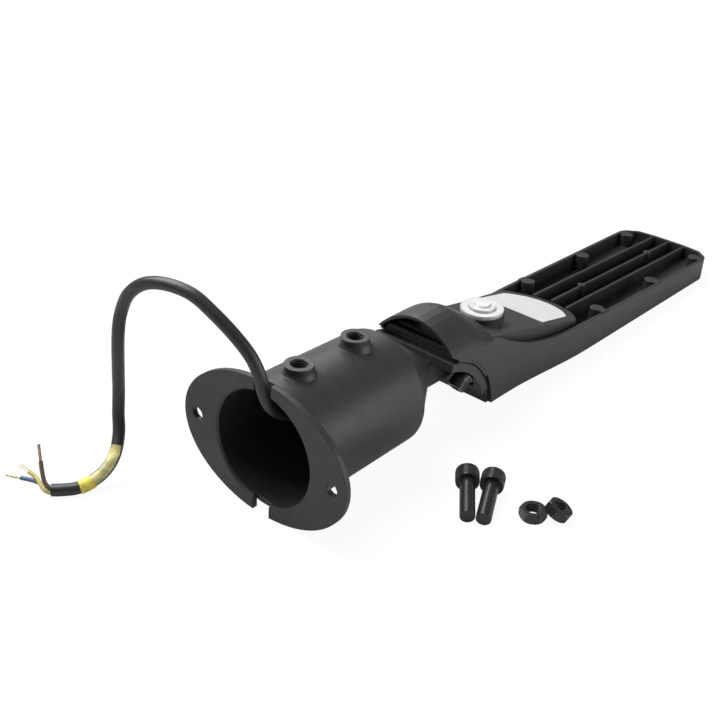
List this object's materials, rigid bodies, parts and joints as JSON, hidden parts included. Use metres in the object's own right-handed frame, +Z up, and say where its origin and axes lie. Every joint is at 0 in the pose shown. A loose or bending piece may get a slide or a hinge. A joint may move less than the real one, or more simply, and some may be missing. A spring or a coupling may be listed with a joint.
{
  "type": "area light",
  "caption": "Black cast area light for a pole or wall: an oval flange on a pole socket, a tilt knuckle, and a slim ribbed head with a photocell and a cable out of the socket.",
  "frame": {"origin": "middle of the wall flange's rear face, on the axis of the pole socket", "axes": "+X along the socket towards the tip of the head, +Z up, away from the light engine; the light lies on a plane that rises by about 1.3 degrees along +X"},
  "size_m": [0.4795, 0.2289, 0.1158],
  "materials": {
    "casting": "satin black powder coat",
    "rubber": "matte",
    "sheath": "satin",
    "core_brown": "satin",
    "core_blue": "satin",
    "core_earth": "satin, green and yellow",
    "copper": "bare stranded copper",
    "tag": "yellow paper",
    "black_steel": "black oxide",
    "steel": "zinc plated",
    "clear_lens": "clear polycarbonate",
    "green_board": "solder mask",
    "sensor": "clear amber window",
    "label": "white film",
    "driver_case": "plain",
    "white_plastic": "satin",
    "brass": "plain",
    "black_plastic": "satin",
    "pad": "soft",
    "white_board": "white solder mask",
    "phosphor": "yellow phosphor"
  },
  "bodies": {
    "arm": {"arm_casting": "casting", "cable_grommet": "rubber", "supply_cable": "sheath", "core_brown": "core_brown", "core_blue": "core_blue", "core_earth": "core_earth", "core_tips": "copper", "cable_tag": "tag", "clamp_screws": "black_steel", "clamp_nuts": "black_steel"},
    "head": {"head_casting": "casting", "driver_cover": "casting", "cover_gasket": "rubber", "cover_screws": "steel", "photocell_lens": "clear_lens", "photocell_seal": "rubber", "photocell_board": "green_board", "photocell_sensor": "sensor", "blank_label": "label", "led_driver": "driver_case", "driver_screws": "steel", "terminal_block": "white_plastic", "earth_screw": "brass", "lock_screws": "black_steel", "spring_washers": "steel", "flat_washers": "steel", "breather": "black_plastic", "thermal_pad": "pad", "led_board": "white_board", "led_packages": "phosphor", "optic_plate": "clear_lens", "optic_gasket": "rubber", "optic_screws": "steel"}
  },
  "joints": [
    {"name": "head_tilt", "type": "hinge", "parent": "arm", "child": "head", "pos_m": [0.106, 0, -0.033], "axis": [0, 1, 0], "range_deg": [-12, 12]}
  ]
}
